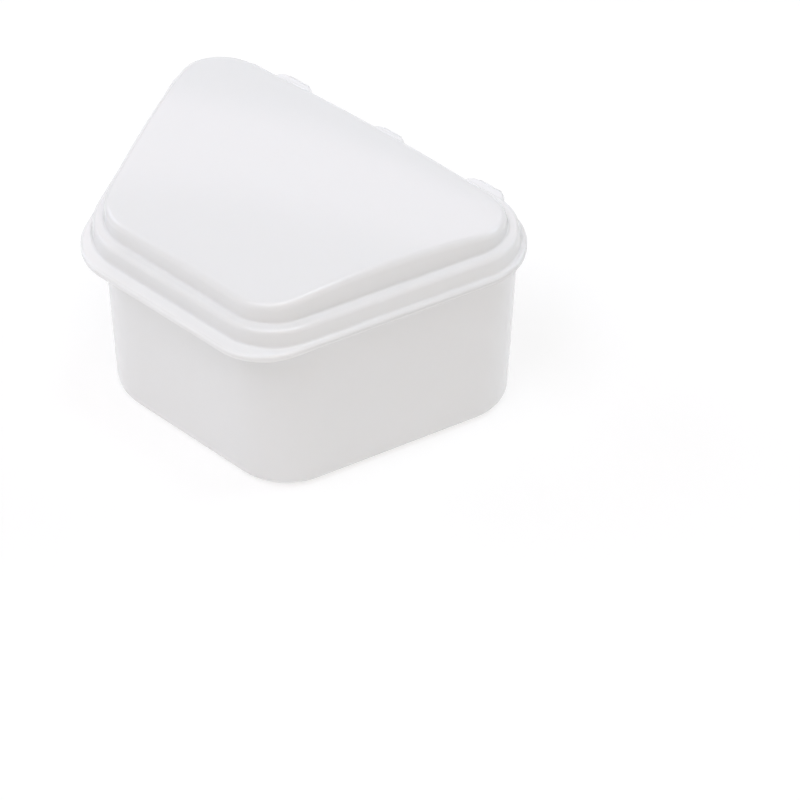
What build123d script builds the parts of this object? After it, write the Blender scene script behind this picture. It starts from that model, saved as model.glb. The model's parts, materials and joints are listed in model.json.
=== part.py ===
from build123d import *
import math
import os

# A denture case moulded in one shot of polypropylene: a deep tub and a stepped lid, rounded
# trapezoids in plan, joined at the long side by three living hinges. Millimetres, +Z up.
# X runs along the hinge side, +Y points to the hinge side, and the case stands on Z = 0.

# Plan of the lid's skirt. Every other outline is offset from its four sides.
hinge_side = 100.0  # the long side, between the corners before they are rounded
front_side = 49.4  # the short side, measured the same way
plan_depth = 61.9  # from the front side to the hinge side
back_corner = 12.2  # radius of the two corners beside the hinge side
front_corner = 14.0  # radius of the two corners beside the front side

# Heights
tub_height = 40.5  # from the table to the top of the tub's flange
lid_gap = 0.15  # between the two flanges when the case is shut
skirt_height = 3.7  # from the top of the lid's flange to the ledge
crown_height = 6.9  # from the ledge to the top of the crown

# Flanges
tub_flange = 0.75  # thickness
lid_flange = 0.8  # thickness
flange_width = 1.2  # how far both flanges stand outside the skirt at the sides and the back
thumb_lip = 3.0  # the same at the front, where a thumb lifts the lid
lip_corner = 13.1  # radius of the two corners beside the thumb lip
flange_edge = 0.2  # rounding of the flanges' outer edges

# Tub
tub_wall = 1.6
tub_floor = 1.8
tub_front_inset = 1.35  # from the skirt's plan in to the tub's front wall, under the flange
tub_side_inset = 0.5  # the same for the other three walls
front_draft = 1.2  # degrees that the front wall leans in towards the base
side_draft = 1.4  # degrees that the other three walls lean in
tub_back_corner = 12.2  # corner radii of the outside, under the flange
tub_front_corner = 15.6
base_edge = 2.0  # rounding where the walls meet the base
bowl_edge = 1.5  # rounding where the walls meet the floor inside
base_rim = 4.0  # width of the flat rim that the case stands on
base_recess = 0.4  # depth of the panel inside that rim

# Upstand of the tub, which the lid's skirt fits over
ledge_clearance = 0.65  # between the top of the upstand and the underside of the ledge
skirt_clearance = 0.2  # between the upstand and the inside of the skirt
bead_clearance = 0.08  # between the upstand's snap bead and the inside of the skirt
bead_height = 0.8
bead_drop = 0.6  # from the top of the upstand down to the bead

# Lid
lid_wall = 1.0
ledge_width = 2.85  # from the skirt in to the inner wall
crown_x_radius = 436.0  # curvature of the top along the hinge side
crown_y_radius = 135.0  # curvature of the top from front to back
roll_width = 10.0  # of the band along the hinge side that curves down faster
roll_radius = 90.0  # curvature of that band from front to back
ledge_edge = 0.6  # rounding of the ledge's outer edge
crown_edge = 1.3  # rounding of the top's edge

# Living hinges
hinge_pitch = 26.0  # between the middles of neighbouring hinges
outer_leaf_width = 10.0
middle_leaf_width = 9.0
leaf_reach = 3.2  # from the flange's back edge to the leaf's tip
leaf_corner = 2.2  # rounding of the leaf's tip in plan
web_thickness = 0.3  # of the folding web
web_reach = 0.15  # from the leaf's tip to the fold's axis

# Places that follow from the sizes
hinge_reach = flange_width + leaf_reach + web_reach  # from the skirt's back to the fold's axis
fold_radius = lid_gap / 2 + web_thickness  # outside of the folded web
total_depth = thumb_lip + plan_depth + hinge_reach + fold_radius
skirt_back_y = total_depth / 2 - hinge_reach - fold_radius
flange_back_y = skirt_back_y + flange_width
leaf_tip_y = flange_back_y + leaf_reach
axis_y = leaf_tip_y + web_reach
axis_z = tub_height + lid_gap / 2
tub_flange_z = tub_height - tub_flange
lid_z = tub_height + lid_gap
lid_flange_top_z = lid_z + lid_flange
ledge_z = lid_flange_top_z + skirt_height
crown_z = ledge_z + crown_height
upstand_z = ledge_z - lid_wall - ledge_clearance
crown_middle_y = skirt_back_y - plan_depth / 2
hinges = {
    "left": (-hinge_pitch, outer_leaf_width),
    "middle": (0.0, middle_leaf_width),
    "right": (hinge_pitch, outer_leaf_width),
}


def outline(z, front, side, back_radius, front_radius):
    """The rounded trapezoid at height z whose front side stands front outside the skirt's plan and
    whose other three sides stand side outside it."""
    slope = (hinge_side - front_side) / 2 / plan_depth
    back_y = skirt_back_y + side
    front_y = skirt_back_y - plan_depth - front

    def half_width(y):
        return hinge_side / 2 - (skirt_back_y - y) * slope + side * math.hypot(1, slope)

    back_x = half_width(back_y)
    front_x = half_width(front_y)
    corners = [(-front_x, front_y), (front_x, front_y), (back_x, back_y), (-back_x, back_y)]
    shape = Polygon(*corners, align=None)
    shape = fillet(shape.vertices().sort_by(Axis.Y)[2:], back_radius)
    shape = fillet(shape.vertices().sort_by(Axis.Y)[:2], front_radius)
    return Pos(0, 0, z) * shape


def skirt_outline(z, inset):
    """The skirt's plan moved in evenly, so that its corners keep their centres."""
    return outline(z, -inset, -inset, back_corner - inset, front_corner - inset)


def flange_plate(z, thickness):
    """A flange's full plate, with its lip at the front and its edges rounded."""
    plan = outline(z, thumb_lip, flange_width, back_corner + flange_width, lip_corner)
    plate = extrude(plan, thickness)
    for x, width in hinges.values():
        plate += hinge_leaf(x, width, z, thickness)
    rims = plate.edges().filter_by(lambda edge: edge.bounding_box().size.Z < thickness / 2)
    return fillet(rims, min(flange_edge, thickness / 3))


def hinge_leaf(x, width, z, thickness):
    """A tongue on the flange's back edge, which carries one half of a hinge."""
    root_y = skirt_back_y - tub_wall
    blank = Pos(x, (root_y + leaf_tip_y) / 2, z) * Rectangle(width, leaf_tip_y - root_y)
    blank = fillet(blank.vertices().sort_by(Axis.Y)[2:], leaf_corner)
    return extrude(blank, thickness)


def tub_section(z, wall):
    """The tub's outline at height z, moved in by wall."""
    below = tub_flange_z - z
    front_inset = tub_front_inset + below * math.tan(math.radians(front_draft)) + wall
    side_inset = tub_side_inset + below * math.tan(math.radians(side_draft)) + wall
    back_radius = tub_back_corner - (side_inset - tub_side_inset)
    front_radius = tub_front_corner - (front_inset - tub_front_inset)
    return outline(z, -front_inset, -side_inset, back_radius, front_radius)


def make_tub():
    """The bowl with its flange, hinge leaves and upstand."""
    body = loft([tub_section(0, 0), tub_section(tub_height, 0)], ruled=True)
    body = fillet(body.edges().group_by(Axis.Z)[0], base_edge)
    upstand_plan = skirt_outline(tub_height, lid_wall + skirt_clearance)
    upstand = extrude(upstand_plan, upstand_z - tub_height)
    bead_z = upstand_z - bead_drop - bead_height
    bead = extrude(skirt_outline(bead_z, lid_wall + bead_clearance), bead_height)
    bowl = loft([tub_section(tub_floor, tub_wall), tub_section(upstand_z, tub_wall)], ruled=True)
    bowl = fillet(bowl.edges().group_by(Axis.Z)[0], bowl_edge)
    recess = extrude(tub_section(0, base_edge + base_rim), base_recess)
    return body + flange_plate(tub_flange_z, tub_flange) + upstand + bead - bowl - recess


def crown_cutter(depth):
    """The block above a surface that lies depth under the lid's crown: an arc from front to back,
    which tightens in the band along the hinge side, turned about a far axis below the case."""
    roll_start = plan_depth / 2 - ledge_width - roll_width
    dome = crown_y_radius - depth
    roll = roll_radius - depth
    turn = math.asin(roll_start / crown_y_radius)
    centre = (crown_middle_y, crown_z - crown_y_radius)
    join = (centre[0] + dome * math.sin(turn), centre[1] + dome * math.cos(turn))
    roll_centre = (join[0] - roll * math.sin(turn), join[1] - roll * math.cos(turn))
    end_turn = turn + 2 * roll_width / roll_radius
    end = (roll_centre[0] + roll * math.sin(end_turn), roll_centre[1] + roll * math.cos(end_turn))
    start_turn = math.asin(plan_depth / 2 / crown_y_radius)
    start = (centre[0] - dome * math.sin(start_turn), centre[1] + dome * math.cos(start_turn))
    roof = crown_z + crown_height
    profile = Polyline(end, (end[0], roof), (start[0], roof), start)
    profile += RadiusArc(start, join, dome)
    profile += RadiusArc(join, end, roll)
    face = Plane.YZ * make_face(profile)
    axis = Axis((0, 0, crown_z - crown_x_radius), (0, 1, 0))
    swing = math.degrees(hinge_side / crown_x_radius)
    return revolve(face.rotate(axis, -swing / 2), axis, swing)


def make_lid():
    """The cover: flange and hinge leaves, skirt, ledge, inner wall and crowned top."""
    skirt = extrude(skirt_outline(lid_z, 0), ledge_z - lid_z)
    skirt = fillet(skirt.edges().group_by(Axis.Z)[-1], ledge_edge)
    block = extrude(skirt_outline(lid_z, ledge_width), crown_z - lid_z)
    cutter = crown_cutter(0)
    dome = block - cutter
    dome = fillet(new_edges(block, cutter, combined=dome), crown_edge)
    skirt_room = extrude(skirt_outline(lid_z, lid_wall), ledge_z - lid_wall - lid_z)
    dome_room = extrude(skirt_outline(lid_z, ledge_width + lid_wall), crown_z - lid_z)
    dome_room -= crown_cutter(lid_wall)
    return flange_plate(lid_z, lid_flange) + skirt + dome - skirt_room - dome_room


def make_web(x, width):
    """The thin strip that joins a pair of leaves, folded in half round the hinge axis."""
    inside = lid_gap / 2
    fold = Circle(fold_radius) - Circle(inside)
    fold = fold & Pos(fold_radius, 0) * Rectangle(2 * fold_radius, 2 * fold_radius)
    for side in (1, -1):
        middle = side * (inside + web_thickness / 2)
        fold += Pos(-web_reach / 2, middle) * Rectangle(web_reach, web_thickness)
    strip_width = width - 2 * leaf_corner
    placed = Plane((x - strip_width / 2, axis_y, axis_z), x_dir=(0, 1, 0), z_dir=(1, 0, 0)) * fold
    return extrude(placed, strip_width)


os.makedirs("parts", exist_ok=True)
export_step(make_tub(), "parts/tub.step")
export_step(make_lid(), "parts/lid.step")
for name, (x, width) in hinges.items():
    export_step(make_web(x, width), f"parts/{name}_hinge_web.step")
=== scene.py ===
import json
import math

import bpy
from mathutils import Matrix, Vector


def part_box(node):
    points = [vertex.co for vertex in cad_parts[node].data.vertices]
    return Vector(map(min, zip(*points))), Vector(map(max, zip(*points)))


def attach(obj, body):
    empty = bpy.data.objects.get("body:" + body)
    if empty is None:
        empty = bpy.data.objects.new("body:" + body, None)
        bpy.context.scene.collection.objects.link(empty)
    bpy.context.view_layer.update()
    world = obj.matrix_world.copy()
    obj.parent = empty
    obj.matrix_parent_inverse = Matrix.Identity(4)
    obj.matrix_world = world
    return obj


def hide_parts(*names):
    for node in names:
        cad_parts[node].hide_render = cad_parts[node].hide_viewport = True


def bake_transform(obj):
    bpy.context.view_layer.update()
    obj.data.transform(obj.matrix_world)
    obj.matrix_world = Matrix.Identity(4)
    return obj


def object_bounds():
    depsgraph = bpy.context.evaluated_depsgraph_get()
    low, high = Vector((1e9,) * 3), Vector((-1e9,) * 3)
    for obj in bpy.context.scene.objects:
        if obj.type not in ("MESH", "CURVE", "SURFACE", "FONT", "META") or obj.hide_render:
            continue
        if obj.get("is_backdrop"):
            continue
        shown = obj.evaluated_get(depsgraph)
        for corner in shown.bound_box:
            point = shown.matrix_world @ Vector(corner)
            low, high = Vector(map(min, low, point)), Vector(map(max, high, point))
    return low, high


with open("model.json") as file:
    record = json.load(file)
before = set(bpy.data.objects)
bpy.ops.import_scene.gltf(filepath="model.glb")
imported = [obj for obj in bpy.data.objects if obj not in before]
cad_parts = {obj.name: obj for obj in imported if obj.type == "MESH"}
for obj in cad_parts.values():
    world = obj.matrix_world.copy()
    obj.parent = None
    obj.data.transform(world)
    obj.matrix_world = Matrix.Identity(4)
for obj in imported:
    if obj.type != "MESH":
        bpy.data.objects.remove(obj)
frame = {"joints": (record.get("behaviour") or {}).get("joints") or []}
cad_low, cad_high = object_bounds()

# ==================================================================================================
# Tub
# A deep bowl, injection moulded in milky polypropylene, with drafted walls, a flange all round and,
# inside it, an upstand with a snap bead. Tongues on the flange's back edge carry the living hinges.
# ==================================================================================================

MM = 0.001  # sizes are written in millimetres, and the scene is in metres

_, tub_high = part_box("tub")
lid_low, lid_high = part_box("lid")
hinge_axis = Vector(frame["joints"][0]["pos_m"])  # of the case's one joint

# Plan of the lid's skirt, a rounded trapezoid. Every other ring of the case is offset from it.
hinge_side = 100.0 * MM  # the long side at the back, between the corners before they are rounded
front_side = 49.4 * MM  # the short side at the front, measured the same way
back_corner = 12.2 * MM
front_corner = 14.0 * MM

# Flanges, alike in plan on the tub and the lid
flange_width = 1.2 * MM  # how far they stand outside the skirt at the sides and the back
thumb_lip = 3.0 * MM  # the same at the front, where a thumb lifts the lid
lip_corner = 13.1 * MM  # of the two corners beside it
flange_edge = 0.3 * MM  # the lower edge of the tub's flange
parting_edge = 0.04 * MM  # the flanges' edges that meet when the case is shut
parting_gap = 0.03 * MM
tub_flange = 0.8 * MM

# Hinge leaves on the flanges' back edges
leaf_reach = 3.2 * MM
leaf_corner = 2.2 * MM
leaf_root = 0.5 * MM  # fillet between a leaf's side and the flange
hinges = [  # name, middle along the back and width of the leaves, from right to left
    ("right", 26.0 * MM, 10.0 * MM),
    ("middle", 0.0 * MM, 9.0 * MM),
    ("left", -26.0 * MM, 10.0 * MM),
]

# Places that the frame gives
leaf_tip_y = lid_high.y
flange_back_y = leaf_tip_y - leaf_reach
skirt_back_y = flange_back_y - flange_width
plan_depth = skirt_back_y - thumb_lip - lid_low.y
upstand_z = tub_high.z
crown_z = lid_high.z
parting_z = hinge_axis.z - parting_gap / 2  # top of the tub's flange
tub_flange_z = parting_z - tub_flange

# The tub's own section
tub_wall = 1.6 * MM
tub_floor = 1.8 * MM
tub_front_inset = 1.75 * MM  # from the skirt's plan in to the front wall, under the flange
tub_side_inset = 0.5 * MM  # the same for the other three walls
front_draft = math.radians(0.4)
side_draft = math.radians(1.0)
tub_back_corner = 11.8 * MM
tub_front_corner = 19.0 * MM
corner_taper = 0.125  # how much tighter the front corners get, for each millimetre down the wall
base_edge = 2.3 * MM  # rounding where the walls meet the base
bowl_edge = 1.5 * MM  # rounding where the walls meet the floor inside
base_rim = 4.0 * MM  # width of the flat rim that the case stands on
base_recess = 0.4 * MM  # depth of the panel inside that rim
upstand_inset = 1.2 * MM  # from the skirt's plan in to the upstand
upstand_edge = 0.25 * MM
bead_rise = 0.12 * MM  # how far the snap bead stands out from the upstand's face
bead_drop = 0.6 * MM  # from the top of the upstand down to the bead
bead_height = 0.8 * MM
inside_fillet = 0.3 * MM  # where the upstand or the wall meets the flange

slope = (hinge_side - front_side) / 2 / plan_depth  # of the slanting sides in plan
lean = math.atan(slope)


class Wire:
    """An output socket of a node tree. Arithmetic on it adds Math nodes to the tree."""

    def __init__(self, tree, socket=None):
        self.tree = tree
        self.socket = socket

    def node(self, kind, settings=(), inputs=(), output=None):
        """Adds a node, its settings first and then the values or links of its input sockets, by
        name or number, and gives the output of that name, or the first one."""
        made = self.tree.nodes.new(kind)
        for name, value in dict(settings).items():
            setattr(made, name, value)
        for key, value in dict(inputs).items():
            if isinstance(key, int):
                socket = made.inputs[key]
            else:
                socket = next(s for s in made.inputs if s.enabled and s.name == key)
            if isinstance(value, Wire):
                self.tree.links.new(value.socket, socket)
            else:
                socket.default_value = value
        shown = [s for s in made.outputs if s.enabled and output in (None, s.name)]
        return Wire(self.tree, shown[0] if shown else None)

    def out(self, name):
        """Another output of the same node."""
        return Wire(self.tree, self.socket.node.outputs[name])

    def maths(self, operation, *values):
        return self.node("ShaderNodeMath", {"operation": operation}, enumerate(values))

    def math(self, operation, *others):
        """A Math node with this output first, and then the others."""
        return self.maths(operation, self, *others)

    def __add__(self, other):
        return self.math("ADD", other)

    def __radd__(self, other):
        return self.math("ADD", other)

    def __sub__(self, other):
        return self.math("SUBTRACT", other)

    def __rsub__(self, other):
        return self.maths("SUBTRACT", other, self)

    def __mul__(self, other):
        return self.math("MULTIPLY", other)

    def __rmul__(self, other):
        return self.math("MULTIPLY", other)

    def __truediv__(self, other):
        return self.math("DIVIDE", other)

    def __rtruediv__(self, other):
        return self.maths("DIVIDE", other, self)

    def towards(self, other, share):
        """From this value to the other one as share goes from 0 to 1."""
        return self + (other - self) * share


def steps_between(start, end, steps):
    """Values from start to end, both included, in equal steps."""
    return [start + (end - start) * step / steps for step in range(steps + 1)]


def stop(across, ahead, angle, leaf=None):
    """One stop of the tour round the case. It belongs to a corner, or to a mix of two: across goes
    from -1, left, to 1, and ahead from 0, back, to 1. angle is the way that the walls face there.
    leaf is the flange's own edge beside a hinge: a point, and the way that the edge faces."""
    x, y, facing = leaf or (0.0, 0.0, angle)
    return {"across": across, "ahead": ahead, "angle": angle, "on_leaf": 1.0 if leaf else 0.0,
            "leaf_x": x, "leaf_y": y, "leaf_angle": facing}


def leaf_edge(x, width):
    """The flange's edge round one hinge leaf, from right to left: points, with Y measured from the
    flange's back, and the way that the edge faces."""
    right = []
    root = (width / 2 + leaf_root, leaf_root)
    for facing in steps_between(math.pi / 2, 0, 4):
        right.append((root[0] - leaf_root * math.cos(facing),
                      root[1] - leaf_root * math.sin(facing), facing))
    tip = (width / 2 - leaf_corner, leaf_reach - leaf_corner)
    for facing in steps_between(0, math.pi / 2, 8):
        right.append((tip[0] + leaf_corner * math.cos(facing),
                      tip[1] + leaf_corner * math.sin(facing), facing))
    left = [(-px, py, math.pi - facing) for px, py, facing in reversed(right)]
    return [(x + px, py, facing) for px, py, facing in right + left]


def back_stops():
    """The stops along the back, from right to left, round the three leaves and between them."""
    reach = hinge_side / 2 - back_corner * (slope + math.hypot(1, slope))
    stops = []
    gap_start = None
    for _, x, width in hinges:
        root = width / 2 + leaf_root
        if gap_start is not None:
            for gap_x in steps_between(gap_start, x + root, 5)[1:-1]:
                leaf = (gap_x, flange_back_y, math.pi / 2)
                stops.append(stop(gap_x / reach, 0, math.pi / 2, leaf))
        edge = leaf_edge(x, width)
        lengths = [0.0]
        for (ax, ay, _), (bx, by, _) in zip(edge, edge[1:]):
            lengths.append(lengths[-1] + math.hypot(bx - ax, by - ay))
        for (px, py, facing), length in zip(edge, lengths):
            plain_x = x + root * (1 - 2 * length / lengths[-1])
            leaf = (px, flange_back_y + py, facing)
            stops.append(stop(plain_x / reach, 0, math.pi / 2, leaf))
        gap_start = x - root
    return stops


def tour():
    """All the stops, anticlockwise from the back right corner round to the same place."""
    back, left, ahead, right = math.pi / 2, math.pi + lean, 1.5 * math.pi, 2 * math.pi - lean
    stops = [stop(1, 0, angle) for angle in steps_between(-lean, back, 24)]
    stops += back_stops()
    stops += [stop(-1, 0, angle) for angle in steps_between(back, left, 24)]
    stops += [stop(-1, share, left) for share in steps_between(0, 1, 16)[1:-1]]
    stops += [stop(-1, 1, angle) for angle in steps_between(left, ahead, 16)]
    stops += [stop(across, 1, ahead) for across in steps_between(-1, 1, 8)[1:-1]]
    stops += [stop(1, 1, angle) for angle in steps_between(ahead, right, 16)]
    stops += [stop(1, share, right) for share in steps_between(1, 0, 16)[1:]]
    return stops


def ring(height, side, front, back_radius, front_radius, follows_leaf=0.0, shrink=0.0,
         on_crown=0.0, crown_wall=0.0, rub=0.0, thin=0.0):
    """One ring of a moulding's section. side and front are how far it stands outside the skirt's
    plan, shrink draws it in to the middle, on_crown measures its height from the lid's crown, or
    from the surface crown_wall below it, rub is 1 where fingers polish the plastic, and thin is 1
    where a whiter colour is painted on, as painted light coming through from the other side."""
    return dict(locals())


def skirt_ring(height, inset, **more):
    """A ring that follows the skirt's plan, moved in evenly."""
    return ring(height, -inset, -inset, back_corner - inset, front_corner - inset, **more)


def flange_ring(height, inset, **more):
    """A ring inside the flanges' edge, round the thumb lip and the hinge leaves."""
    return ring(height, flange_width - inset, thumb_lip - inset,
                back_corner + flange_width - inset, lip_corner - inset, follows_leaf=1.0, **more)


def tub_ring(height, inset, **more):
    """A ring inside the tub's outer wall, which leans in towards the base."""
    below = tub_flange_z - height
    front = tub_front_inset + below * math.tan(front_draft) + inset
    side = tub_side_inset + below * math.tan(side_draft) + inset
    return ring(height, -side, -front, tub_back_corner - inset,
                tub_front_corner - below * corner_taper - inset, **more)


def rounded(make_ring, inset, height, radius, start, end, steps=4, **more):
    """Rings along an arc about a centre at that inset and height, between two angles in degrees: 0
    points outwards and 90 up."""
    rings = []
    for angle in steps_between(math.radians(start), math.radians(end), steps):
        rings.append(make_ring(height + radius * math.sin(angle),
                               inset - radius * math.cos(angle), **more))
    return rings


def across_middle(make_ring, height, inset, shares, **more):
    """Rings that close a moulding over its middle."""
    return [make_ring(height, inset, shrink=share, **more) for share in shares]


def tub_section():
    """The rings from the middle of the bowl's floor, up and over the wall, round the flange, down
    the outside and in to the middle of the base."""
    bowl_inset = tub_wall + bowl_edge
    rings = across_middle(tub_ring, tub_floor, bowl_inset, steps_between(1, 0, 5)[:-1])
    rings += rounded(tub_ring, bowl_inset, tub_floor + bowl_edge, bowl_edge, 270, 360, 6)
    rings += rounded(tub_ring, tub_wall - upstand_edge, upstand_z - upstand_edge, upstand_edge,
                     180, 90, rub=1.0)
    rings += rounded(skirt_ring, upstand_inset + upstand_edge, upstand_z - upstand_edge,
                     upstand_edge, 90, 0, rub=1.0)
    for share in steps_between(0, 1, 6):
        height = upstand_z - bead_drop - bead_height * share
        rings.append(skirt_ring(height, upstand_inset - bead_rise * math.sin(math.pi * share)))
    rings += rounded(skirt_ring, upstand_inset - inside_fillet, parting_z + inside_fillet,
                     inside_fillet, 180, 270)
    # The flange's edges are painted whiter, as light coming through it
    rings += rounded(flange_ring, parting_edge, parting_z - parting_edge, parting_edge, 90, 0, 3,
                     thin=0.8)
    rings += rounded(flange_ring, flange_edge, tub_flange_z + flange_edge, flange_edge, 0, -90,
                     rub=1.0, thin=0.5)
    rings += rounded(tub_ring, -inside_fillet, tub_flange_z - inside_fillet, inside_fillet, 90, 180)
    rings += rounded(tub_ring, base_edge, base_edge, base_edge, 0, -90, 8)
    recess_inset = base_edge + base_rim
    half_step = base_recess / 2
    rings += rounded(tub_ring, recess_inset - half_step, half_step, half_step, 270, 180)
    rings += rounded(tub_ring, recess_inset + half_step, half_step, half_step, 0, 90)
    rings += across_middle(tub_ring, base_recess, recess_inset + half_step,
                           steps_between(0, 1, 5)[1:])
    return rings


def points(name, rows):
    """An object of loose points, one for each row, with the row's values as attributes."""
    mesh = bpy.data.meshes.new(name)
    mesh.from_pydata([(0, 0, 0)] * len(rows), [], [])
    for key in rows[0]:
        layer = mesh.attributes.new(key, "FLOAT", "POINT")
        layer.data.foreach_set("value", [row[key] for row in rows])
    made = bpy.data.objects.new(name, mesh)
    bpy.context.scene.collection.objects.link(made)
    return made


ledge_width = 2.85 * MM  # of the lid, from the skirt in to the inner wall
roll_width = 10.0 * MM  # of the crown's band along the hinge side, which curves down faster
moulding_sizes = {
    "Hinge side": hinge_side,
    "Front side": front_side,
    "Plan depth": plan_depth,
    "Skirt back": skirt_back_y,
    "Flange width": flange_width,
    "Crown height": crown_z,
    "Crown radius across": 436.0 * MM,
    "Crown radius behind": 135.0 * MM,  # of its back half, from front to back
    "Crown radius ahead": 143.0 * MM,  # of its front half
    "Roll radius": 90.0 * MM,
    "Roll start": plan_depth / 2 - ledge_width - roll_width,  # from the middle of the plan
}


def moulding_tree():
    """Geometry Nodes that carry a section's rings round the tour, as one closed shell."""
    tree = bpy.data.node_groups.new("section carried round the plan", "GeometryNodeTree")
    tree.interface.new_socket("Section", in_out="INPUT", socket_type="NodeSocketGeometry")
    tree.interface.new_socket("Tour", in_out="INPUT", socket_type="NodeSocketObject")
    tree.interface.new_socket("Plastic", in_out="INPUT", socket_type="NodeSocketMaterial")
    for size in moulding_sizes:
        tree.interface.new_socket(size, in_out="INPUT", socket_type="NodeSocketFloat")
    tree.interface.new_socket("Moulding", in_out="OUTPUT", socket_type="NodeSocketGeometry")

    nodes = Wire(tree)
    given = nodes.node("NodeGroupInput")
    hinge, front, depth, back, flange, crown, bow, arch, arch_ahead, roll, roll_start = (
        given.out(size) for size in moulding_sizes)
    section = given.out("Section")
    stops = nodes.node("GeometryNodeObjectInfo", {}, {"Object": given.out("Tour")}, "Geometry")

    def count(mesh):
        return nodes.node("GeometryNodeAttributeDomainSize", {"component": "MESH"},
                          {"Geometry": mesh}, "Point Count")

    def read(mesh, name, index):
        value = nodes.node("GeometryNodeInputNamedAttribute", {"data_type": "FLOAT"},
                           {"Name": name})
        return nodes.node("GeometryNodeSampleIndex", {"data_type": "FLOAT", "domain": "POINT"},
                          {"Geometry": mesh, "Value": value, "Index": index})

    stop_count = count(stops)
    index = nodes.node("GeometryNodeInputIndex")
    stop_index = index.math("MODULO", stop_count)
    ring_index = ((index - stop_index) / stop_count + 0.5).math("FLOOR")
    at_stop = {name: read(stops, name, stop_index) for name in stop(0, 0, 0)}
    at_ring = {name: read(section, name, ring_index) for name in ring(0, 0, 0, 0, 0)}

    # The corner that the stop belongs to: its centre, and its radius on this ring
    side, ahead = at_ring["side"], at_stop["ahead"]
    back_radius, front_radius = at_ring["back_radius"], at_ring["front_radius"]
    radius = back_radius.towards(front_radius, ahead)
    side_slope = (hinge - front) / depth / 2
    slant = (side_slope * side_slope + 1).math("SQRT")
    back_y = back + side - back_radius
    front_y = back - depth - at_ring["front"] + front_radius

    def centre_x(centre_y, corner_radius):
        return hinge / 2 - (back - centre_y) * side_slope + (side - corner_radius) * slant

    corner_x = centre_x(back_y, back_radius).towards(centre_x(front_y, front_radius), ahead)
    plain_x = at_stop["across"] * corner_x + radius * at_stop["angle"].math("COSINE")
    plain_y = back_y.towards(front_y, ahead) + radius * at_stop["angle"].math("SINE")

    # The flanges' back edge follows the hinge leaves
    on_leaf = at_ring["follows_leaf"] * at_stop["on_leaf"]
    inset = flange - side
    leaf_x = at_stop["leaf_x"] - inset * at_stop["leaf_angle"].math("COSINE")
    leaf_y = at_stop["leaf_y"] - inset * at_stop["leaf_angle"].math("SINE")
    middle_y = back - depth / 2
    x = plain_x.towards(leaf_x, on_leaf).towards(0, at_ring["shrink"])
    y = plain_y.towards(leaf_y, on_leaf).towards(middle_y, at_ring["shrink"])

    # The crown: an arc from front to back, tighter along the hinge side, and bowed across
    run = y - middle_y
    dome = arch - at_ring["crown_wall"]
    tight = roll - at_ring["crown_wall"]
    turn = (roll_start / arch).math("ARCSINE")
    past_turn = run - (arch - roll) * turn.math("SINE")
    arched = (dome * dome - run * run).math("SQRT")
    rolled = (tight * tight - past_turn * past_turn).math("SQRT")
    rolled = rolled + (arch - roll) * turn.math("COSINE")
    profile = arched.towards(rolled, run.math("GREATER_THAN", dome * turn.math("SINE")))
    dome_ahead = arch_ahead - at_ring["crown_wall"]
    ahead_arched = (dome_ahead * dome_ahead - run * run).math("SQRT") + arch - arch_ahead
    profile = profile.towards(ahead_arched, run.math("LESS_THAN", 0))
    spun = bow + profile - arch
    top = (spun * spun - x * x).math("SQRT") + crown - bow
    z = at_ring["height"] + top * at_ring["on_crown"]

    # The rings become one closed shell, with what the plastic has to know about them
    grid = nodes.node("GeometryNodeMeshGrid", {},
                      {"Vertices X": count(section), "Vertices Y": stop_count})
    place = nodes.node("ShaderNodeCombineXYZ", {}, {"X": x, "Y": y, "Z": z})
    shape = nodes.node("GeometryNodeSetPosition", {}, {"Geometry": grid, "Position": place})
    stands_out = ahead.math("POWER", 4) * 0.95 + 0.05  # the flanges stand out furthest at the front, and the painted glow is strongest there
    for name, value in (("rub", at_ring["rub"]), ("thin", at_ring["thin"] * stands_out)):
        shape = nodes.node("GeometryNodeStoreNamedAttribute",
                           {"data_type": "FLOAT", "domain": "POINT"},
                           {"Geometry": shape, "Name": name, "Value": value})
    shape = nodes.node("GeometryNodeMergeByDistance", {},
                       {"Geometry": shape, "Distance": 0.002 * MM})
    shape = nodes.node("GeometryNodeSetShadeSmooth", {}, {"Geometry": shape})
    shape = nodes.node("GeometryNodeRealizeInstances", {}, {"Geometry": shape})
    shape = nodes.node("GeometryNodeSetMaterial", {},
                       {"Geometry": shape, "Material": given.out("Plastic")})
    nodes.node("NodeGroupOutput", {}, {"Moulding": shape})
    return tree


moulding = moulding_tree()
case_tour = points("tour", tour())


def mould(name, section, plastic):
    """A plain mesh of a section carried round the case."""
    made = points(name, section)
    carry = made.modifiers.new("carry", "NODES")
    carry.node_group = moulding
    values = {"Tour": case_tour, "Plastic": plastic, **moulding_sizes}
    for socket in moulding.interface.items_tree:
        if socket.name in values:
            carry[socket.identifier] = values[socket.name]
    graph = bpy.context.evaluated_depsgraph_get()
    mesh = bpy.data.meshes.new_from_object(made.evaluated_get(graph))
    mesh.name = name
    made.modifiers.remove(carry)
    made.data = mesh
    normals = made.modifiers.new("flat faces stay flat", "WEIGHTED_NORMAL")
    normals.keep_sharp = True
    return made


milky_white = (0.87, 0.875, 0.88)
thin_white = (0.96, 0.965, 0.97)  # painted light coming through the flanges, and the webs' real strain whitening


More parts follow.
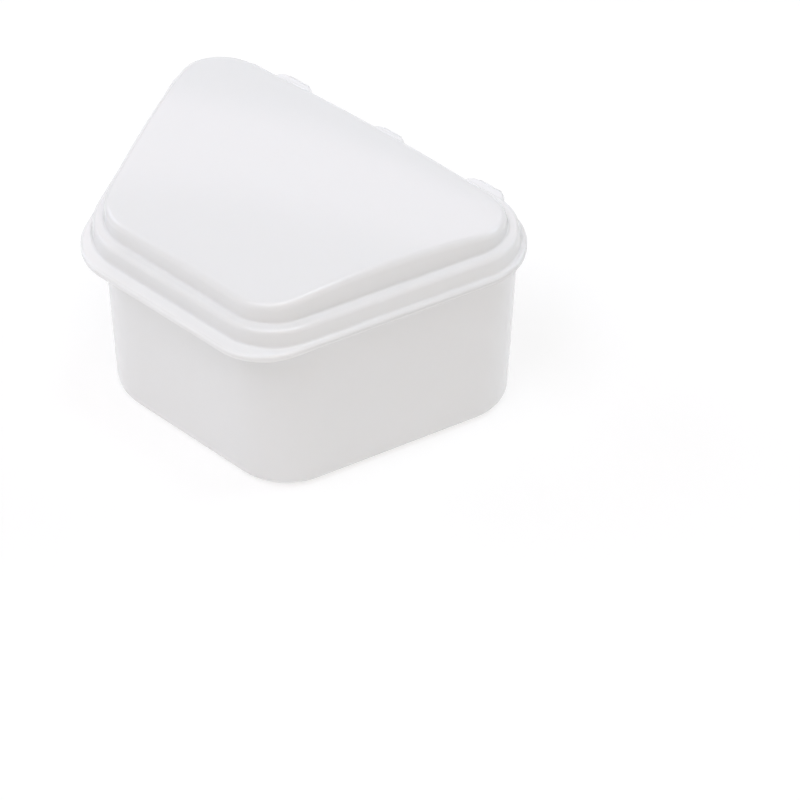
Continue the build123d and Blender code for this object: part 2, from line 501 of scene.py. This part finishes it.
def polypropylene(name, gate, colour, roughness):
    """Milky moulded polypropylene, glossier where fingers rub it, and painted whiter by one
    attribute: painted light where light would come through the flanges, and the webs' real strain
    whitening in their folds. gate is where the melt came in, which the flow runs out from."""
    material = bpy.data.materials.new(name)
    material.use_nodes = True
    material.node_tree.nodes.clear()
    nodes = Wire(material.node_tree)
    place = nodes.node("ShaderNodeTexCoord", output="Object")
    rub = nodes.node("ShaderNodeAttribute", {"attribute_name": "rub"}, output="Fac")
    thin = nodes.node("ShaderNodeAttribute", {"attribute_name": "thin"}, output="Fac")

    def noise(vector, scale, detail=2.0):
        return nodes.node("ShaderNodeTexNoise", {}, {"Vector": vector, "Scale": scale,
                                                     "Detail": detail})

    from_gate = nodes.node("ShaderNodeVectorMath", {"operation": "SUBTRACT"},
                           {0: place, 1: gate})
    heading = nodes.node("ShaderNodeVectorMath", {"operation": "NORMALIZE"}, {0: from_gate})
    flow = noise(heading, 14.0, 3.0)  # streaks that run out from the gate
    cloud = noise(place, 55.0, 3.0)  # patches about 20 mm across
    swirl = noise(place, 260.0)  # shallow waves about 4 mm across
    grain = noise(place, 5200.0)  # the mould's own fine texture
    milk = nodes.node("ShaderNodeMix", {"data_type": "RGBA"},
                      {"Factor": cloud * 0.6 + flow * 0.4,
                       "A": (*[c * 0.985 for c in colour], 1), "B": (*colour, 1)})
    # Painted light: whiter where light would come through the flanges; in the webs, real strain
    # whitening
    lit = nodes.node("ShaderNodeMix", {"data_type": "RGBA"},
                     {"Factor": thin, "A": milk, "B": (*thin_white, 1)})
    roughness = roughness + (cloud - 0.5) * 0.06 + (flow - 0.5) * 0.05 + (swirl - 0.5) * 0.04
    roughness = roughness - rub * 0.05
    height = swirl * 0.5 + grain * 0.12
    bump = nodes.node("ShaderNodeBump", {}, {"Strength": 0.25, "Distance": 0.02 * MM,
                                             "Height": height})
    shader = nodes.node("ShaderNodeBsdfPrincipled", {}, {
        "Base Color": lit,
        "Roughness": roughness,
        "Normal": bump,
        "IOR": 1.49,
        "Subsurface Weight": 0.2,
        "Subsurface Radius": (1.0, 0.95, 0.9),
        "Subsurface Scale": 1.0 * MM,
    })
    nodes.node("ShaderNodeOutputMaterial", {}, {"Surface": shader})
    return material


tub_plastic = polypropylene("tub polypropylene", (0, 0, 0), milky_white, 0.22)
tub = mould("tub_moulding", tub_section(), tub_plastic)
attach(tub, "tub")
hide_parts("tub")

# ==================================================================================================
# Lid
# A thinner cover of the same shot: a flange with a thumb lip at the front, a skirt that drops over
# the tub's upstand, a ledge, and an inner wall under a softly crowned top.
# ==================================================================================================

lid_flange = 0.85 * MM
lip_edge = 0.68 * MM  # rounding of the flange's upper edge
lip_root = 0.5 * MM  # fillet between the flange and the skirt
lid_wall = 1.0 * MM
crown_height = 6.9 * MM  # from the ledge to the top of the crown
skirt_lean = 0.35 * MM  # how far the skirt leans in over its height
ledge_edge = 1.0 * MM
ledge_root = 0.5 * MM  # fillet between the ledge and the inner wall
wall_foot = 0.1 * MM  # how far the inner wall's foot stands out over the ledge
wall_lean = 0.2 * MM  # how far it leans in from there
crown_edge = 1.3 * MM
hidden_edge = 0.3 * MM  # rounding of the edges inside

lid_z = hinge_axis.z + parting_gap / 2
lid_flange_top_z = lid_z + lid_flange
ledge_z = crown_z - crown_height


def crown_ring(height, inset, **more):
    return skirt_ring(height, inset, on_crown=1.0, **more)


def lid_section():
    """The rings from the middle of the top, down the outside, round the flange, up inside the walls
    and in to the middle of the crown's underside."""
    roof_inset = ledge_width + lid_wall + hidden_edge
    under_ledge_z = ledge_z - lid_wall
    foot_inset = ledge_width - wall_foot
    crown_inset = foot_inset + wall_lean + crown_edge
    rings = across_middle(crown_ring, 0, crown_inset, steps_between(1, 0, 16)[:-1])
    rings += rounded(crown_ring, crown_inset, -crown_edge, crown_edge, 90, 0, 8, rub=1.0)
    rings += rounded(skirt_ring, foot_inset - ledge_root, ledge_z + ledge_root, ledge_root,
                     180, 270)
    rings += rounded(skirt_ring, skirt_lean + ledge_edge, ledge_z - ledge_edge, ledge_edge,
                     90, 0, 6, rub=1.0)
    # The flange is painted whiter, as light coming through it, more and more towards its rim
    rings += rounded(skirt_ring, -lip_root, lid_flange_top_z + lip_root, lip_root, 180, 240, 4)
    rings += rounded(skirt_ring, -lip_root, lid_flange_top_z + lip_root, lip_root, 255, 270, 1,
                     thin=0.45)
    rings += rounded(flange_ring, lip_edge, lid_flange_top_z - lip_edge, lip_edge, 90, 60, 2,
                     rub=1.0, thin=0.45)
    rings += rounded(flange_ring, lip_edge, lid_flange_top_z - lip_edge, lip_edge, 40, 0, 3,
                     rub=1.0, thin=1.0)
    rings += rounded(flange_ring, parting_edge, lid_z + parting_edge, parting_edge, 0, -90, 3,
                     thin=1.0)
    rings += rounded(skirt_ring, lid_wall - hidden_edge, lid_z + hidden_edge, hidden_edge,
                     270, 180)
    rings += rounded(skirt_ring, lid_wall + hidden_edge, under_ledge_z - hidden_edge,
                     hidden_edge, 0, 90)
    rings += rounded(skirt_ring, roof_inset - 2 * hidden_edge, under_ledge_z + hidden_edge,
                     hidden_edge, 270, 180)
    rings += rounded(crown_ring, roof_inset, -hidden_edge, hidden_edge, 0, 90,
                     crown_wall=lid_wall)
    rings += across_middle(crown_ring, 0, roof_inset, steps_between(0, 1, 14)[1:],
                           crown_wall=lid_wall)
    return rings


lid_plastic = polypropylene("lid polypropylene", (0, 0, crown_z), milky_white, 0.17)
lid = mould("lid_moulding", lid_section(), lid_plastic)
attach(lid, "lid")
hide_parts("lid")

case_tour_points = case_tour.data
bpy.data.objects.remove(case_tour)
bpy.data.meshes.remove(case_tour_points)

# ==================================================================================================
# Hinge webs
# Three strips 0.3 mm thin between the leaves' tips, moulded flat with the tub and the lid and then
# folded in half. The plastic is strained in the fold, and whiter there.
# ==================================================================================================

web_thickness = 0.3 * MM
web_gap = 0.15 * MM  # between the two halves of the folded web
web_root = 0.4 * MM  # how far each end runs on inside its leaf
fold_radius = (web_gap + web_thickness) / 2  # to the middle of the web's thickness


def web_line():
    """The middle of the web's thickness, from inside the tub's leaf round the fold to the lid's:
    points in Y and Z from the hinge axis, and the way that the outside faces."""
    straight = leaf_tip_y - web_root - hinge_axis.y
    quarter = math.pi / 2
    turn = math.radians(15)  # the part about the middle, which turns when the lid opens
    line = [(straight, -fold_radius, -quarter)]
    angles = steps_between(-quarter, -turn, 8) + steps_between(-turn, turn, 16)[1:-1]
    angles += steps_between(turn, quarter, 8)
    line += [(fold_radius * math.cos(a), fold_radius * math.sin(a), a) for a in angles]
    return line + [(straight, fold_radius, quarter)]


def make_web(name, x, width):
    """A closed strip along the web's line, a little thinner at its two sides."""
    line = web_line()
    edge = web_thickness / 4
    rows = [(-width / 2, 0.5), (-width / 2 + edge, 1.0), (width / 2 - edge, 1.0), (width / 2, 0.5)]
    corners = []
    for y, z, facing in line:
        for out in (1, -1):
            for along, share in rows:
                reach = out * share * web_thickness / 2
                corners.append((x + along, hinge_axis.y + y + reach * math.cos(facing),
                                hinge_axis.z + z + reach * math.sin(facing)))
    row = len(rows)
    around = list(range(row - 1, -1, -1)) + list(range(row, 2 * row))
    faces = []
    for step in range(len(line) - 1):
        near, far = step * 2 * row, (step + 1) * 2 * row
        for here, there in zip(around, around[1:] + around[:1]):
            faces.append((near + here, near + there, far + there, far + here))
    for end, turned in ((0, -1), ((len(line) - 1) * 2 * row, 1)):
        for here in range(row - 1):
            cap = (end + here, end + row + here, end + row + here + 1, end + here + 1)
            faces.append(cap[::turned])
    mesh = bpy.data.meshes.new(name)
    mesh.from_pydata(corners, [], faces)
    mesh.shade_smooth()
    # The same attribute carries the fold's real strain whitening, not painted light
    strain = mesh.attributes.new("thin", "FLOAT", "POINT")
    strain.data.foreach_set("value", [math.cos(facing) for _, _, facing in line
                                      for corner in range(2 * row)])
    made = bpy.data.objects.new(name, mesh)
    bpy.context.scene.collection.objects.link(made)
    return made


web_plastic = polypropylene("web polypropylene", tuple(hinge_axis), milky_white, 0.22)
for side, x, width in hinges:
    web = make_web(side + "_web", x, width - 2 * leaf_corner)
    web.data.materials.append(web_plastic)
    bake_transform(web)
    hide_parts(side + "_hinge_web")

# ==================================================================================================
# Studio
# A white table, faintly lit from beneath, which fades into a white surround. Softboxes stand round
# the case and above it, and one that only glints on its edges.
# ==================================================================================================

target = Vector((0, 0, crown_z / 2))
softbox_distance = 1.2


def direction(azimuth, elevation):
    """The way out to something seen at an azimuth, 0 in front and 90 to the right, in degrees."""
    azimuth, elevation = math.radians(azimuth), math.radians(elevation)
    return Vector((math.sin(azimuth) * math.cos(elevation),
                   -math.cos(azimuth) * math.cos(elevation), math.sin(elevation)))


def softbox(name, azimuth, elevation, width, height, radiance, tint=(1, 1, 1)):
    """A lamp that faces the case, with its size in metres and its light per area and angle."""
    lamp = bpy.data.lights.new(name, "AREA")
    lamp.shape = "RECTANGLE"
    lamp.size = width
    lamp.size_y = height
    lamp.energy = radiance * math.pi * width * height
    lamp.color = tint
    made = bpy.data.objects.new(name, lamp)
    away = direction(azimuth, elevation)
    made.location = target + away * softbox_distance
    made.rotation_euler = away.to_track_quat("Z", "Y").to_euler()
    made.visible_camera = False
    bpy.context.scene.collection.objects.link(made)
    return made


softbox("front softbox", 0, 62, 0.6, 0.6, 3.13, (0.93, 0.92, 1.0))
softbox("top softbox", 120, 77.5, 0.3, 0.3, 5.3, (0.84, 0.95, 1.0))
glint = softbox("glint softbox", 60, 81.5, 0.42, 0.2, 6.0)
glint.visible_diffuse = False
softbox("right softbox", 62, 50, 0.6, 0.6, 1.25, (1.0, 0.85, 0.8))
softbox("back softbox", 155, 35, 0.6, 0.6, 2.3, (0.73, 0.83, 1.0))
softbox("left softbox", -70, 35, 0.6, 0.6, 2.4, (0.77, 0.84, 1.0))
softbox("mirrored softbox", 223, 38, 1.0, 0.4, 0.8, (1.0, 0.86, 0.93))


def seen_directly(nodes):
    """1 where the camera sees a thing, also in a mirror or through glass, and 0 where the thing
    only lights others."""
    path = nodes.node("ShaderNodeLightPath")
    direct = path.math("MAXIMUM", path.out("Is Glossy Ray"))
    return direct.math("MAXIMUM", path.out("Is Transmission Ray"))


world = bpy.data.worlds.new("white surround")
bpy.context.scene.world = world
world.use_nodes = True
world.node_tree.nodes.clear()
air = Wire(world.node_tree)
direct = seen_directly(air)
fill = air.node("ShaderNodeBackground", {}, {"Color": (0.407, 0.39, 0.358, 1), "Strength": 1.0})
white = air.node("ShaderNodeBackground", {}, {"Color": (1, 1, 1, 1), "Strength": 1.0})
surround = air.node("ShaderNodeMixShader", {}, {0: direct, 1: fill, 2: white})
air.node("ShaderNodeOutputWorld", {}, {"Surface": surround})

table_half = 1.5
table_right = 2.5  # further out, so that the diagonal of the mesh doesn't pass beneath the case
fade_start = 0.25  # from the case out to where the table starts to fade into the surround
fade_end = 0.75
table_mesh = bpy.data.meshes.new("table")
table_mesh.from_pydata([(-table_half, -table_half, 0), (table_right, -table_half, 0),
                        (table_right, table_half, 0), (-table_half, table_half, 0)],
                       [], [(0, 1, 2, 3)])
table = bpy.data.objects.new("table", table_mesh)
bpy.context.scene.collection.objects.link(table)
table_white = bpy.data.materials.new("white table")
table_white.use_nodes = True
table_white.node_tree.nodes.clear()
paint = Wire(table_white.node_tree)
direct = seen_directly(paint)

# Seen, it is just white, apart from the case's soft shadow
seen_white = paint.node("ShaderNodeBsdfDiffuse", {}, {"Color": (0.45, 0.45, 0.45, 1)})
seen_glow = paint.node("ShaderNodeEmission", {}, {"Color": (1, 1, 1, 1), "Strength": 0.6})
near = paint.node("ShaderNodeAddShader", {}, {0: seen_white, 1: seen_glow})
place = paint.node("ShaderNodeTexCoord", output="Object")
away = paint.node("ShaderNodeVectorMath", {"operation": "LENGTH"}, {0: place}, "Value")
fade = paint.node("ShaderNodeMapRange", {"interpolation_type": "SMOOTHSTEP"},
                  {"Value": away, "From Min": fade_start, "From Max": fade_end})
far = paint.node("ShaderNodeEmission", {}, {"Color": (1, 1, 1, 1), "Strength": 1.0})
shown = paint.node("ShaderNodeMixShader", {}, {0: fade, 1: near, 2: far})

# The light that it throws back up at the case
bounce = paint.node("ShaderNodeBsdfDiffuse", {}, {"Color": (0.95, 0.95, 0.95, 1)})
backlight = paint.node("ShaderNodeEmission", {}, {"Color": (1, 1, 1, 1), "Strength": 0.09})
unseen = paint.node("ShaderNodeAddShader", {}, {0: bounce, 1: backlight})

# From below it is clear
above = paint.node("ShaderNodeMixShader", {}, {0: direct, 1: unseen, 2: shown})
below = paint.node("ShaderNodeBsdfTransparent")
back_face = paint.node("ShaderNodeNewGeometry", output="Backfacing")
finish = paint.node("ShaderNodeMixShader", {}, {0: back_face, 1: above, 2: below})
paint.node("ShaderNodeOutputMaterial", {}, {"Surface": finish})
table.data.materials.append(table_white)
table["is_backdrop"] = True

# The camera looks down at the case from the front right, through a long lens
camera_azimuth = 40.678
camera_elevation = 45.872
camera_roll = math.radians(0.375)
camera_distance = 544.98 * MM  # along the line of sight, from the middle of the base
camera_right = 24.39 * MM  # its shift across the line of sight
camera_up = -7.46 * MM
camera_data = bpy.data.cameras.new("camera")
camera_data.sensor_width = 36.0
camera_data.lens = 116.18
camera = bpy.data.objects.new("camera", camera_data)
bpy.context.scene.collection.objects.link(camera)
bpy.context.scene.camera = camera
look_back = direction(camera_azimuth, camera_elevation)
level_right = Vector((math.cos(math.radians(camera_azimuth)),
                      math.sin(math.radians(camera_azimuth)), 0))
level_up = look_back.cross(level_right)
right = level_right * math.cos(camera_roll) - level_up * math.sin(camera_roll)
up = look_back.cross(right)
turned = Matrix((right, up, look_back)).transposed().to_4x4()
aim = Vector((0, -0.94 * MM, 0))
stand = aim + look_back * camera_distance + right * camera_right + up * camera_up
camera.matrix_world = Matrix.Translation(stand) @ turned

bpy.context.scene.view_settings.view_transform = "Standard"

shown_low, shown_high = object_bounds()
boxes = {"cad": [list(cad_low), list(cad_high)], "visual": [list(shown_low), list(shown_high)]}
